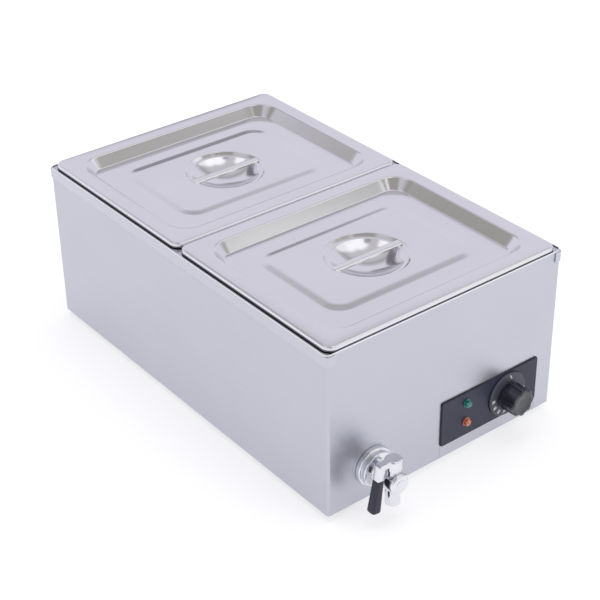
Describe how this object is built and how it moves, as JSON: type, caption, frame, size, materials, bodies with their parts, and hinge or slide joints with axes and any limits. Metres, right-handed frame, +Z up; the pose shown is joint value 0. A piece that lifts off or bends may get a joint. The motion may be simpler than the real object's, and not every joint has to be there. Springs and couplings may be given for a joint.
{
  "type": "bain marie",
  "caption": "Countertop bain marie: stainless water well with lidded food pans side by side, thermostat knob and pilot lamps, and a lever drain tap on the front.",
  "frame": {"origin": "on the counter, under the middle of the bounding box", "axes": "+Z up, -Y towards the front with the tap and the knob, X across the width"},
  "size_m": [0.334, 0.6022, 0.2182],
  "materials": {
    "stainless": "satin",
    "galvanised": "dull",
    "zinc": "plated",
    "black_rubber": "matt",
    "fascia_plate": "satin",
    "knob_plastic": "satin",
    "dial_plastic": "satin",
    "thermostat_case": "matt",
    "lens_green": "clear tint",
    "lens_orange": "clear tint",
    "pale_plastic": "matt",
    "gland_plastic": "matt",
    "element_sheath": "dull",
    "copper": "drawn",
    "brass": "machined",
    "chrome": "bright"
  },
  "bodies": {
    "housing": {"base_plate": "galvanised", "base_screws": "zinc", "bulb_clips": "galvanised", "cable_gland": "gland_plastic", "control_box": "stainless", "control_fascia": "fascia_plate", "divider_bar": "stainless", "divider_brackets": "stainless", "drain_elbow": "brass", "drain_flange": "brass", "drain_gasket": "black_rubber", "drain_nut": "brass", "element_bushes": "brass", "element_gaskets": "black_rubber", "element_nuts": "brass", "element_saddles": "galvanised", "foot_screws": "zinc", "gland_locknut": "gland_plastic", "green_lens": "lens_green", "heating_element": "element_sheath", "lamp_clips": "zinc", "lamp_holders": "pale_plastic", "orange_lens": "lens_orange", "outer_shell": "stainless", "rubber_feet": "black_rubber", "sensor_bulb": "copper", "tap_backnut": "brass", "tap_body": "chrome", "tap_cap": "chrome", "tap_gasket": "black_rubber", "tap_gland_nut": "chrome", "tap_rosette": "chrome", "tap_seat": "pale_plastic", "terminal_block": "pale_plastic", "thermostat_body": "thermostat_case", "thermostat_screws": "zinc", "water_tank": "stainless"},
    "thermostat_knob": {"thermostat_knob": "knob_plastic", "dial_skirt": "dial_plastic", "thermostat_spindle": "brass"},
    "tap_lever": {"tap_lever": "chrome", "lever_grip": "knob_plastic", "tap_stem": "brass", "tap_ball": "chrome", "lever_set_screw": "zinc"},
    "pan_front": {"pan_front": "stainless"},
    "pan_rear": {"pan_rear": "stainless"},
    "lid_front": {"lid_front": "stainless", "lid_front_handle": "stainless"},
    "lid_rear": {"lid_rear": "stainless", "lid_rear_handle": "stainless"}
  },
  "joints": [
    {"name": "knob_turn", "type": "hinge", "parent": "housing", "child": "thermostat_knob", "pos_m": [0.092, -0.26405, 0.05375], "axis": [0, 1, 0], "range_deg": [0, 270]},
    {"name": "tap_turn", "type": "hinge", "parent": "housing", "child": "tap_lever", "pos_m": [-0.105, -0.28755, 0.07], "axis": [0, 0, 1], "range_deg": [0, 90]},
    {"name": "pan_front_lift", "type": "slide", "parent": "housing", "child": "pan_front", "axis": [0, 0, 1], "range_m": [0, 0.18]},
    {"name": "pan_rear_lift", "type": "slide", "parent": "housing", "child": "pan_rear", "axis": [0, 0, 1], "range_m": [0, 0.18]},
    {"name": "lid_front_lift", "type": "slide", "parent": "pan_front", "child": "lid_front", "axis": [0, 0, 1], "range_m": [0, 0.15]},
    {"name": "lid_rear_lift", "type": "slide", "parent": "pan_rear", "child": "lid_rear", "axis": [0, 0, 1], "range_m": [0, 0.15]}
  ]
}
